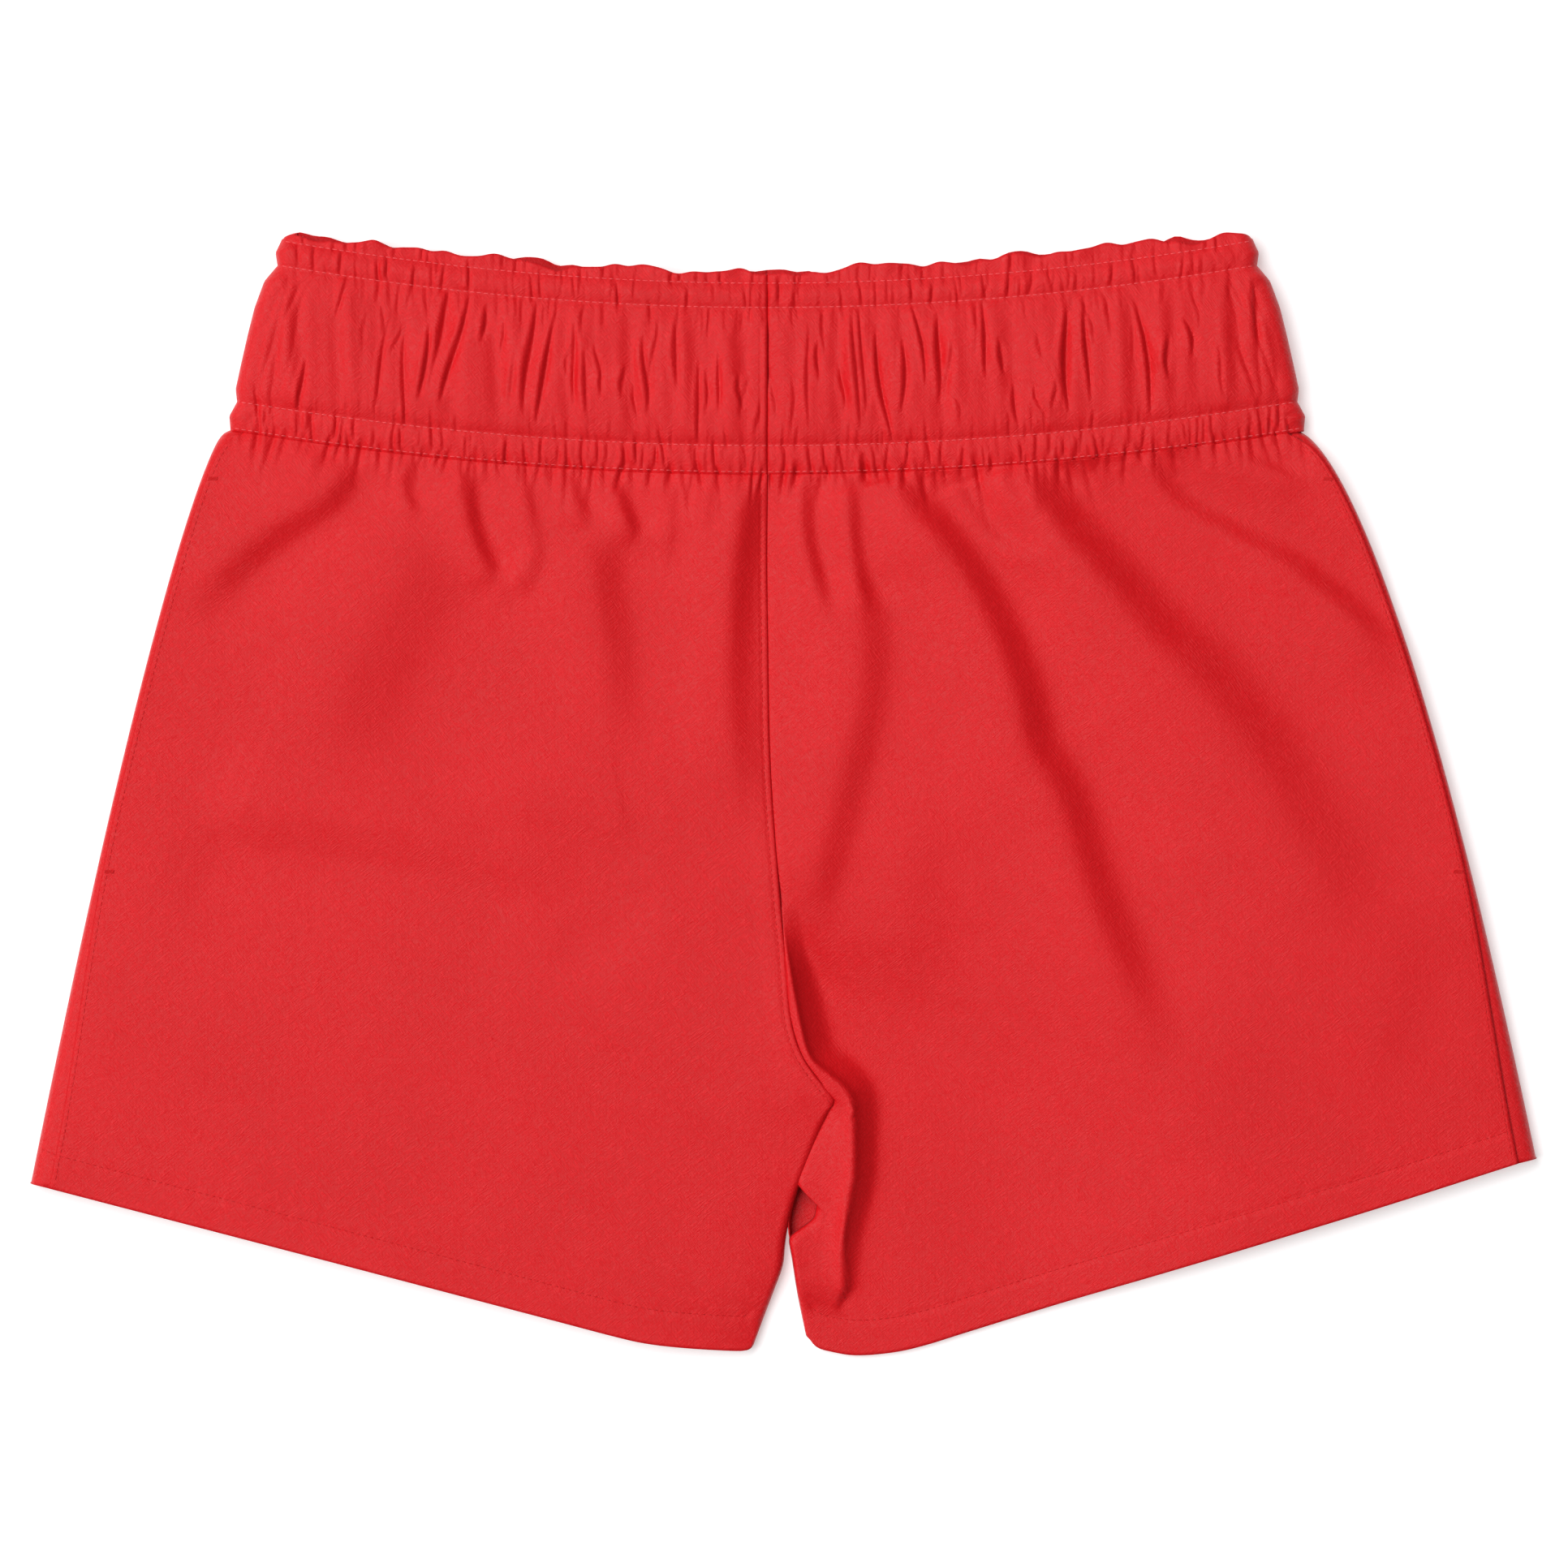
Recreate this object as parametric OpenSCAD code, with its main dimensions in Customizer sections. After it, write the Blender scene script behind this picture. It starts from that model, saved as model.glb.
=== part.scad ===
// Boxing shorts, lying flat: +X to the wearer's left, +Y to the waist, +Z up from the surface they lie on.
// The origin is under the middle of the whole garment.

/* [Overall] */
// Width across the two outer hem corners
overall_width = 557.6; // [550:0.2:570]
// Length from the lowest point of the hems to the top corners of the waistband
overall_length = 415.8; // [412:0.2:420]
// Height of the hips and legs as they lie, back panel to front panel
body_height = 12.6; // [11:0.1:15]
// Thickness of one layer of fabric with its slack
fabric = 1; // [0.6:0.1:1.2]

/* [Waistband] */
// Width of the waistband along its top edge
waist_top_width = 356.4; // [350:0.2:362]
// Width of the waistband along the seam to the panels
waist_seam_width = 397; // [390:0.5:402]
// Height of the waistband as it lies, back to front
band_thickness = 17; // [16:0.1:20]
// How far the middle of the waist seam hangs below its two ends
waist_dip = 16.6; // [12:0.2:20]
// Length of the narrow channel under the wide one
channel_length = 9.8; // [8:0.1:12]
// Length of the wide elastic channel
wide_length = 51; // [46:0.5:54]

/* [Legs] */
// Height of the outer corner of the left hem above the lowest hem point
left_hem_rise = 63.9; // [55:0.1:70]
// Height of the outer corner of the right hem above the lowest hem point
right_hem_rise = 72.9; // [60:0.1:78]
// Distance of the hem stitching from the hem's edge
hem_depth = 13; // [8:0.5:20]
// Y of the line along which the legs fold up
leg_fold_y = -124; // [-128:0.5:-120]

/* [Pockets] */
// Length of each pocket opening along the side seam
pocket_opening = 145; // [120:1:160]
// Width of each pocket bag, from the side seam inwards
pocket_width = 105; // [80:1:120]

/* [Hidden] */

cloth_red = [0.84, 0.16, 0.18];
thread_red = [0.9, 0.35, 0.36];
elastic_white = [0.93, 0.92, 0.9];
clear = 0.3;      // clearance between bodies that move apart
slit = 0.1;       // clearance between layers that lie on each other
far = 40;         // overlength of a cutting shape
thread_w = 0.7;   // width of a row of stitches
thread_h = 0.25;  // height of a row of stitches above the fabric

// Outline of the panels. Left and right are as seen from the front.
half_length = overall_length / 2;
seam_x = -6;                                        // centre front and centre back seam
waist_y = 134.4;                                    // ends of the waist seam
left_waist = [seam_x - waist_seam_width / 2 - 1.5, waist_y];
right_waist = [seam_x + waist_seam_width / 2 - 1.5, waist_y];
left_corner = [-overall_width / 2, -half_length + left_hem_rise];
right_corner = [overall_width / 2, -half_length + right_hem_rise];
left_flare = 0.78;                                  // below 1, the side swells out at the hip
right_flare = 0.68;
crotch = [[-6, 40], [-4, -37], [3, -82], [7.5, -100], [20.8, -111.5]];
left_inseam = [[14, leg_fold_y], [4.8, -148], [1.3, -160], [-0.2, -174], [-3.8, -184], [-12, -205]];
left_hem = [[-16, -206.3], [-50, -204], [-62, -201.3]];
right_inseam = [[14.8, leg_fold_y], [14.8, -139], [9.2, -144.2], [2.2, -163], [4.7, -178], [9.6, -203]];
right_hem = [[14, -206.4], [28, -half_length], [46, -205.8], [70, -199]];

function side_x(y, top, corner, flare) =
    top.x + (corner.x - top.x) * pow(max(0, top.y - y) / (top.y - corner.y), flare);
function left_x(y) = side_x(y, left_waist, left_corner, left_flare);
function right_x(y) = side_x(y, right_waist, right_corner, right_flare);
function left_side(y0, y1, steps, inset = 0) =
    [for (i = [0:steps]) let (y = y0 + (y1 - y0) * i / steps) [left_x(y) + inset, y]];
function right_side(y0, y1, steps, inset = 0) =
    [for (i = [0:steps]) let (y = y0 + (y1 - y0) * i / steps) [right_x(y) - inset, y]];
function back_to_front(list) = [for (i = [len(list) - 1:-1:0]) list[i]];
function shifted(list, by) = [for (p = list) p + by];

// The waistband is a ring sector about one far centre. It folds down over the front about a line
// along X through the lowest point of the wide channel, 1.5 mm above the waistband's front face.
seam_half = waist_seam_width / 2;
r_seam = (seam_half * seam_half + waist_dip * waist_dip) / (2 * waist_dip);
band_centre = [seam_x, waist_y - waist_dip + r_seam];
r_channel = r_seam - channel_length;
r_wide = r_channel - wide_length;
r_top = norm([waist_top_width / 2, band_centre.y - half_length]);
function band_y(x, r) = band_centre.y - sqrt(r * r - pow(x - seam_x, 2));
function waist_arc(x0, x1, steps) =
    [for (i = [0:steps]) let (x = x0 + (x1 - x0) * i / steps) [x, band_y(x, r_seam) - clear]];
band_wall = 3 * fabric + 2 * slit;                   // outer layer, elastic, inner layer

// Panel outlines above the leg fold
hinge_top = leg_fold_y + clear;
left_hips = concat(
    left_side(waist_y - slit, hinge_top, 7), [[15.4, hinge_top]],
    back_to_front(crotch), waist_arc(seam_x, left_waist.x, 6));
right_hips = concat(
    right_side(waist_y - slit, hinge_top, 9), [[16, hinge_top], [21.2, -112.4]],
    back_to_front(shifted(crotch, [slit, 0])), waist_arc(seam_x + slit, right_waist.x, 6));
left_hips_room = concat(
    left_side(waist_y + far, hinge_top - far, 9, fabric), [[far, hinge_top - far], [far, waist_y + far]]);
right_hips_room = concat(
    right_side(waist_y + far, hinge_top - far, 11, fabric), [[-far, hinge_top - far], [-far, waist_y + far]]);

// Leg outlines below the leg fold
hinge_low = leg_fold_y - clear;
function below_hinge(list) = concat([[list[0].x, hinge_low]], [for (i = [1:len(list) - 1]) list[i]]);
left_leg = concat(
    left_side(hinge_low, left_corner.y, 2), back_to_front(left_hem),
    back_to_front(below_hinge(left_inseam)));
right_leg = concat(
    right_side(hinge_low, right_corner.y, 2), back_to_front(right_hem),
    back_to_front(below_hinge(right_inseam)));
left_leg_room = concat(
    left_side(hinge_low + far, left_corner.y, 3, fabric), [[left_corner.x + fabric, -half_length - far]],
    [[-12 - fabric, -half_length - far]],
    back_to_front(shifted(left_inseam, [-fabric, 0])), [[14 - fabric, hinge_low + far]]);
right_leg_room = concat(
    right_side(hinge_low + far, right_corner.y, 3, fabric), [[right_corner.x - fabric, -half_length - far]],
    [[9.6 + fabric, -half_length - far]],
    back_to_front(shifted(right_inseam, [fabric, 0])), [[14.8 + fabric, hinge_low + far]]);

// Front half of a flattened tube: a plate on top and its side walls
module front_half(outline, room, height) {
    middle = height / 2;
    difference() {
        translate([0, 0, middle + slit / 2]) linear_extrude(height - middle - slit / 2) polygon(outline);
        linear_extrude(height - fabric) polygon(room);
    }
}

// Back half of a flattened tube: a plate on the ground and its side walls
module back_half(outline, room, height) {
    difference() {
        linear_extrude(height / 2 - slit / 2) polygon(outline);
        translate([0, 0, fabric]) linear_extrude(height) polygon(room);
    }
}

module front_panel_left() { color(cloth_red) front_half(left_hips, left_hips_room, body_height); }
module front_panel_right() { color(cloth_red) front_half(right_hips, right_hips_room, body_height); }
module back_panel_left() { color(cloth_red) back_half(left_hips, left_hips_room, body_height); }
module back_panel_right() { color(cloth_red) back_half(right_hips, right_hips_room, body_height); }
module leg_front_left() { color(cloth_red) front_half(left_leg, left_leg_room, body_height); }
module leg_front_right() { color(cloth_red) front_half(right_leg, right_leg_room, body_height); }
module leg_back_left() { color(cloth_red) back_half(left_leg, left_leg_room, body_height); }
module leg_back_right() { color(cloth_red) back_half(right_leg, right_leg_room, body_height); }

// Pocket bags: two layers lying on each other under the front panel
pocket_top = 116;
pocket_low = pocket_top - pocket_opening;
pocket_hang = 40;       // how far the bag hangs below its opening
pocket_layers = 1.2;    // both layers of one bag together
pocket_z = body_height - fabric - slit - pocket_layers;
module pocket_bag(side) {
    edge = side < 0 ? left_side(pocket_top, pocket_low, 5, fabric + 3 * clear)
                    : right_side(pocket_top, pocket_low, 5, fabric + 3 * clear);
    top_x = edge[0].x;
    low_x = edge[5].x;
    color(cloth_red) translate([0, 0, pocket_z]) linear_extrude(pocket_layers)
        polygon(concat(edge, [
            [low_x - side * 20, pocket_low - pocket_hang],
            [low_x - side * (pocket_width - 20), pocket_low - pocket_hang],
            [low_x - side * pocket_width, pocket_low - pocket_hang + 20],
            [top_x - side * (pocket_width - 45), pocket_top]]));
}
module pocket_bag_left() { pocket_bag(-1); }
module pocket_bag_right() { pocket_bag(1); }

// The stitched bars at both ends of each pocket opening
bartack = [7, 1.6, 0.5];
bartack_inset = 2.5;
module bartack(x, y, side) {
    low = side < 0 ? 0 : -bartack.x;
    translate([x + low - side * bartack_inset, y - bartack.y / 2, body_height]) cube(bartack);
}
module pocket_bartacks() {
    color(thread_red) for (y = [pocket_top, pocket_low]) {
        bartack(left_x(y), y, -1);
        bartack(right_x(y), y, 1);
    }
}

// A row of stitches on the front face. half is half its width, along X for a row that runs
// mostly along Y, and along Y for a row that runs mostly along X.
module stitch_row(points, half) {
    translate([0, 0, body_height]) linear_extrude(thread_h)
        polygon(concat(shifted(points, -half), back_to_front(shifted(points, half))));
}
along_y = [thread_w / 2, 0];
along_x = [0, thread_w / 2];

// Stitching beside the centre seam and the two side seams, front face, above the leg fold
seam_margin = 2.2;      // from the centre seam
side_margin = 6;        // from the folded side edge
centre_seam = concat([[seam_x, band_y(seam_x, r_seam) - 1]], crotch);
module seam_thread() {
    color(thread_red) {
        stitch_row(shifted(centre_seam, [-seam_margin, 0]), along_y);
        stitch_row(left_side(pocket_low - side_margin, hinge_top, 3, side_margin), along_y);
        stitch_row(right_side(pocket_low - side_margin, hinge_top, 3, side_margin), along_y);
    }
}

// Hem stitching, front face, all of it below the leg fold
function hem_line(hem, corner, side) = concat(
    [[corner.x - side * 3, min(corner.y + hem_depth + 1, hinge_low - thread_w)]],
    shifted(back_to_front(hem), [0, hem_depth]));
module hem_thread_left() {
    color(thread_red) stitch_row(hem_line(left_hem, left_corner, -1), along_x);
}
module hem_thread_right() {
    color(thread_red) stitch_row(hem_line(right_hem, right_corner, 1), along_x);
}

// Side outlines of the waistband: both ends lean inwards to the top
lean = (waist_seam_width - waist_top_width) / 2 / (half_length - waist_y);
band_left = seam_x - waist_seam_width / 2;
band_right = seam_x + waist_seam_width / 2;
function band_end_x(y, side, inset) =
    (side < 0 ? band_left : band_right) - side * (lean * (y - waist_y) + inset);

// The space between the waistband's two ends, set in by inset
module band_ends(z, height, inset) {
    top = half_length + far;
    translate([0, 0, z]) linear_extrude(height) polygon([
        [band_end_x(-far, -1, inset), -far], [band_end_x(-far, 1, inset), -far],
        [band_end_x(top, 1, inset), top], [band_end_x(top, -1, inset), top]]);
}

// All of the waistband between two radii and two heights, with its ends set in
module band_block(r_low, r_high, z_low, z_high, inset) {
    intersection() {
        translate([band_centre.x, band_centre.y, z_low]) difference() {
            cylinder(r = r_low, h = z_high - z_low, $fn = 200);
            translate([0, 0, -1]) cylinder(r = r_high, h = z_high - z_low + 2, $fn = 200);
        }
        band_ends(z_low - 1, z_high - z_low + 2, inset);
    }
}

// A flattened loop of the waistband, wall deep, starting inset mm inside its outer face
module band_loop(r_low, r_high, inset, wall) {
    difference() {
        band_block(r_low, r_high, inset, band_thickness - inset, inset);
        band_block(r_low + far, r_high - far, inset + wall, band_thickness - inset - wall, inset + wall);
    }
}

// The tunnel that an elastic runs in
module tunnel(r_low, r_high) {
    band_loop(r_low - fabric, r_high + fabric, fabric, fabric + 2 * slit);
}

// One quarter of the casing: side -1 left or 1 right, front true or false
module casing_quarter(side, front) {
    middle = band_thickness / 2;
    wide = overall_width;
    intersection() {
        children();
        translate([side < 0 ? seam_x - wide : seam_x + slit, 0, front ? middle + slit / 2 : -1])
            cube([wide, half_length + 2 * far, front ? middle + 1 : middle + 1 - slit / 2]);
    }
}

module channel_casing(side, front) {
    color(cloth_red) casing_quarter(side, front) difference() {
        band_loop(r_seam, r_channel + clear, 0, band_wall);
        tunnel(r_seam, r_channel + clear);
    }
}
module channel_front_left() { channel_casing(-1, true); }
module channel_front_right() { channel_casing(1, true); }
module channel_back_left() { channel_casing(-1, false); }
module channel_back_right() { channel_casing(1, false); }
module channel_elastic() {
    color(elastic_white)
        band_loop(r_seam - fabric - slit, r_channel + clear + fabric + slit, fabric + slit, fabric);
}

module band_casing(side, front) {
    color(cloth_red) casing_quarter(side, front) difference() {
        band_loop(r_channel, r_top, 0, band_wall);
        tunnel(r_channel, r_wide);
        tunnel(r_wide, r_top + 3);
    }
}
module band_front_left() { band_casing(-1, true); }
module band_front_right() { band_casing(1, true); }
module band_back_left() { band_casing(-1, false); }
module band_back_right() { band_casing(1, false); }
module wide_elastic() {
    color(elastic_white) band_loop(r_channel - fabric - slit, r_wide + fabric + slit, fabric + slit, fabric);
}
module top_elastic() {
    color(elastic_white) band_loop(r_wide - fabric - slit, r_top + 3 + fabric + slit, fabric + slit, fabric);
}

// A row of stitches round the front of the waistband
module ring_row(r) {
    intersection() {
        translate([band_centre.x, band_centre.y, band_thickness]) difference() {
            cylinder(r = r + thread_w / 2, h = thread_h, $fn = 200);
            translate([0, 0, -1]) cylinder(r = r - thread_w / 2, h = thread_h + 2, $fn = 200);
        }
        band_ends(band_thickness - 1, thread_h + 2, 1);
    }
}
module channel_thread() {
    color(thread_red) for (r = [r_seam - 1, r_channel + 1]) ring_row(r);
}
module band_thread() {
    color(thread_red) for (r = [r_channel - 1, r_wide, r_top + 3]) ring_row(r);
}

// Blank folded label inside the back of the waistband
label = [32, 24, 0.5];
module care_label() {
    color(elastic_white)
        translate([seam_x - label.x / 2, band_y(seam_x, r_wide) - label.y, band_wall + slit]) cube(label);
}

front_panel_left();
front_panel_right();
back_panel_left();
back_panel_right();
pocket_bag_left();
pocket_bag_right();
pocket_bartacks();
seam_thread();
channel_front_left();
channel_front_right();
channel_back_left();
channel_back_right();
channel_elastic();
channel_thread();
leg_front_left();
leg_back_left();
hem_thread_left();
leg_front_right();
leg_back_right();
hem_thread_right();
band_front_left();
band_front_right();
band_back_left();
band_back_right();
wide_elastic();
top_elastic();
band_thread();
care_label();
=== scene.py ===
"""Red boxing shorts lying flat: cloth panels, gathered waistband, stitching and pockets.

Lengths are millimetres until object_from() turns them into metres. +X is the right of the front view,
+Y the waist, +Z up from the floor. Left and right are as seen from the front.
"""
import math

import bpy
import numpy as np
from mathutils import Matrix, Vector
from mathutils.bvhtree import BVHTree


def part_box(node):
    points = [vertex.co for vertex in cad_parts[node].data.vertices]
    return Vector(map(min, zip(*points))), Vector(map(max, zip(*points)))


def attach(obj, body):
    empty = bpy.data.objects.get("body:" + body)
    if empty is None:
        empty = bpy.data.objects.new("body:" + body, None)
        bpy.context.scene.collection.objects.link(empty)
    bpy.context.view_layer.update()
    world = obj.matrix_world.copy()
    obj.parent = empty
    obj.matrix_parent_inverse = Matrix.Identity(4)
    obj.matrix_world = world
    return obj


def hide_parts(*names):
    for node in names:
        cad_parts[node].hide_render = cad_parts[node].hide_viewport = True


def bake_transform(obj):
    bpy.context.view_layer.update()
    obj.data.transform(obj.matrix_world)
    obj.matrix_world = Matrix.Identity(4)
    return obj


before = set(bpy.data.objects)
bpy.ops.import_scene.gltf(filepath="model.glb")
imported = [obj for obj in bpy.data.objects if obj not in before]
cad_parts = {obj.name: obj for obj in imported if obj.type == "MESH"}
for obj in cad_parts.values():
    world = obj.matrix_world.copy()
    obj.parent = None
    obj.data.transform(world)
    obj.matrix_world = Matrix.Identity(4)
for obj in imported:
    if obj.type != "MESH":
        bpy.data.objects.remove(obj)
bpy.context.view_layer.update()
MM = 0.001
TINY = 1e-9     # keeps a length above zero


def node_box(name):
    """A CAD node's lowest and highest corners in millimetres."""
    low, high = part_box(name)
    return np.array(low) / MM, np.array(high) / MM


# ---- sizes taken from the frame
LEFT_HEM_X = node_box("leg_front_left")[0][0]
RIGHT_HEM_X = node_box("leg_front_right")[1][0]
BODY_TOP = node_box("front_panel_left")[1][2]
SEAM_X = node_box("band_front_left")[1][0]
WAIST_MIDDLE_Y = node_box("channel_front_left")[0][1]
WAIST_END_Y = 134.4         # the waist seam at the sides
WAIST_DIP = WAIST_END_Y - WAIST_MIDDLE_Y
WAIST_HALF = 198.5          # half the width of the waist seam

# ---- small tools


def smooth(t):
    """0 to 1 with no sudden start or end."""
    t = np.clip(t, 0, 1)
    return t * t * (3 - 2 * t)


def ramp(x, start, end):
    """0 before start, 1 after end, smooth in between."""
    return smooth((x - start) / (end - start))


def curve(points, count=None, at=None):
    """A Catmull-Rom curve through points, as count evenly spaced points or one at each share in
    at."""
    p = np.array(points, float)
    p = np.vstack([2 * p[0] - p[1], p, 2 * p[-1] - p[-2]])
    t = np.linspace(0, 1, 24, endpoint=False)[:, None]
    fine = [
        0.5 * (2 * b + (c - a) * t + (2 * a - 5 * b + 4 * c - d) * t**2
               + (3 * b - a - 3 * c + d) * t**3)
        for a, b, c, d in zip(p, p[1:], p[2:], p[3:])
    ]
    fine = np.vstack(fine + [p[-2]])
    length = np.concatenate([[0], np.cumsum(np.linalg.norm(np.diff(fine, axis=0), axis=1))])
    share = np.linspace(0, 1, count) if at is None else np.asarray(at)
    columns = [np.interp(share * length[-1], length, column) for column in fine.T]
    return np.stack(columns, axis=1)


def spread(parts):
    """Shares from 0 to 1, for stretches that each have a length and a spacing."""
    marks, place = [0.0], 0.0
    for length, spacing in parts:
        n = max(1, round(length / spacing))
        marks += list(place + length * np.arange(1, n + 1) / n)
        place += length
    return np.array(marks) / place


def patch(outer, inner, top, bottom):
    """A Coons patch: rows run from outer to inner, the first row is top and the last is bottom."""
    v = share_of(outer)[:, None, None]
    u = share_of(top)[None, :, None]
    sides = (1 - u) * outer[:, None] + u * inner[:, None]
    ends = (1 - v) * top[None] + v * bottom[None]
    corners = (1 - u) * (1 - v) * top[0] + u * (1 - v) * top[-1]
    corners = corners + (1 - u) * v * bottom[0] + u * v * bottom[-1]
    return sides + ends - corners


def share_of(line):
    """How far along a line each of its points lies, from 0 to 1."""
    length = np.concatenate([[0], np.cumsum(np.linalg.norm(np.diff(line, axis=0), axis=1))])
    return length / length[-1]


def mesh_from(name, grid, material, close_columns=False):
    """A smooth mesh from a grid of points, rows by columns, in millimetres."""
    rows, columns = grid.shape[:2]
    index = np.arange(rows * columns).reshape(rows, columns)
    if close_columns:
        index = np.hstack([index, index[:, :1]])
    quads = np.stack([index[:-1, :-1], index[:-1, 1:], index[1:, 1:], index[1:, :-1]], axis=-1)
    return object_from(name, grid.reshape(-1, 3), quads.reshape(-1, 4).tolist(), material)


def object_from(name, points, faces, material):
    """A smooth mesh from points in millimetres and faces of any size."""
    mesh = bpy.data.meshes.new(name)
    mesh.from_pydata((np.asarray(points) * MM).tolist(), [], faces)
    mesh.validate()
    mesh.polygons.foreach_set("use_smooth", [True] * len(mesh.polygons))
    mesh.materials.append(material)
    made = bpy.data.objects.new(name, mesh)
    bpy.context.scene.collection.objects.link(made)
    return made


def facing(grid, side):
    """A grid whose faces look outwards on either half."""
    return grid if side < 0 else grid[:, ::-1]


def thicken(piece, thickness):
    """Gives a sheet its thickness, all of it on the inside."""
    solid = piece.modifiers.new("thickness", "SOLIDIFY")
    solid.thickness = thickness * MM
    solid.offset = -1
    solid.use_even_offset = False
    return piece


# ---- outlines


SIDE_START = 0.9        # the front's side starts this far below the waist seam, the back's above it
CORNER_STEP = 1.8       # the front's hem starts this far below the corner of the folded side edge


class Half:
    """What differs between the two halves: side is -1 on the left and 1 on the right."""

    def __init__(self, side, top_x, corner, flare, draw, hem, inner, roll):
        self.word = "left" if side < 0 else "right"
        self.side, self.top_x, self.corner, self.flare = side, top_x, corner, flare
        self.draw, self.hem, self.inner, self.roll = draw, hem, inner, roll

    def plain_edge(self, y):
        """X of the folded side edge as one smooth line, past the waistband too."""
        t = np.clip((WAIST_END_Y - y) / (WAIST_END_Y - self.corner[1]), 0, None)
        return self.top_x + (self.corner[0] - self.top_x) * t**self.flare

    def edge(self, y):
        """X of the folded side edge, which is drawn in where it meets the waistband."""
        drawn_in = self.draw * np.exp((y - WAIST_END_Y - SIDE_START) / 1.1)
        return self.plain_edge(y) - self.side * drawn_in

    def seam(self, y):
        """X of the side seam, which lies on the front just inside the folded edge."""
        inset = 2.2 + 5.4 * ramp(-y, 5, 140) + 6 * np.exp((y - WAIST_END_Y) / 4)
        return self.plain_edge(y) - self.side * inset


CENTRE_SEAM = [
    (SEAM_X, WAIST_MIDDLE_Y), (-6.3, 90), (-6, 60), (-5, 10), (-1.6, -37), (0.6, -60),
    (2.4, -82), (5.4, -94), (8.2, -99.6), (13.2, -106.4), (18.9, -113.2),
]
LEFT = Half(
    side=-1, top_x=-207, corner=(LEFT_HEM_X, -144.4), flare=0.78, draw=5.0, roll=3.4,
    hem=[
        (-166, -173.8), (-90, -193.8), (-62, -201.2), (-50, -203.8), (-36, -205.4), (-19, -206.5),
        (-14.4, -206.4), (-12.6, -205.8), (-11.4, -204.2),
    ],
    inner=[
        (17.2, -116.4), (14, -123), (10.4, -132), (4.8, -147.5), (1.5, -159.5), (0.3, -167),
        (-0.6, -175), (-3.8, -184), (-7.6, -194), (-11.4, -204.2),
    ],
)
RIGHT = Half(
    side=1, top_x=190, corner=(RIGHT_HEM_X, -135.2), flare=0.635, draw=1.5, roll=2.2,
    hem=[
        (214, -155.4), (142, -177.3), (106, -188), (70, -199.2), (52, -204.8), (40, -207.4),
        (27, -208.4), (17.5, -207.0), (12.2, -205.2), (8.7, -201.0),
    ],
    inner=[
        (17, -116), (9.5, -130), (3.6, -147), (1.6, -159.5), (3.6, -173), (5.6, -186),
        (8.7, -201.0),
    ],
)
HALVES = {"left": LEFT, "right": RIGHT}


def waist_y(x, above=0.0):
    """Y of the waistband at a distance above the waist seam."""
    return WAIST_MIDDLE_Y + above + (WAIST_DIP + 0.042 * above) * ((x - SEAM_X) / 200) ** 2


def inner_x(half, y):
    """X of a half's inner edge: the centre seam, then the inside of its leg."""
    line = curve(CENTRE_SEAM + half.inner, 400)
    order = np.argsort(line[:, 1])
    return np.interp(y, line[order, 1], line[order, 0])


# ---- folds of the front


def line_place(points, x, y):
    """How far along a line each point lies, its distance from the line, positive to the left of
    travel, and the line's length."""
    line = curve(points, max(8, 3 * len(points)))
    best = np.full(x.shape, 1e9)
    along, off, run = np.zeros(x.shape), np.zeros(x.shape), 0.0
    for (ax, ay), (bx, by) in zip(line, line[1:]):
        dx, dy = bx - ax, by - ay
        length = math.hypot(dx, dy) + TINY
        t = np.clip(((x - ax) * dx + (y - ay) * dy) / length**2, 0, 1)
        px, py = x - ax - t * dx, y - ay - t * dy
        distance = np.hypot(px, py)
        near = distance < best
        best = np.where(near, distance, best)
        along = np.where(near, run + t * length, along)
        off = np.where(near, np.sign(dx * py - dy * px) * distance, off)
        run += length
    return along, off, run


def bank(t):
    """Rises evenly, levels off past 1, and goes back to nothing slowly."""
    t = np.abs(t)
    return t / (1 + t**3) ** (1 / 3) * np.exp(-((t / 3.8) ** 2))


STEEPNESS = 1.15            # makes every fold that much steeper than its own slope


def fold(
    x, y, points, slope, crest, trough, fade_in=12.0, fade_out=30.0, widen=1.0, slope_end=None
):
    """A fold in the cloth. It falls to the left of travel with the given slope, from a crest on the
    right to a trough on the left, and beyond both it comes back to level much more gently."""
    along, off, run = line_place(points, x, y)
    grow = 1 + (widen - 1) * along / run
    width = np.where(off < 0, crest, trough) * grow
    keep = ramp(along, 0, fade_in) * (1 - ramp(along, run - fade_out, run))
    if slope_end is not None:
        slope = slope + (slope_end - slope) * smooth(along / run)
    return -STEEPNESS * slope * np.sign(off) * width * bank(off / width) * keep


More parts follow.
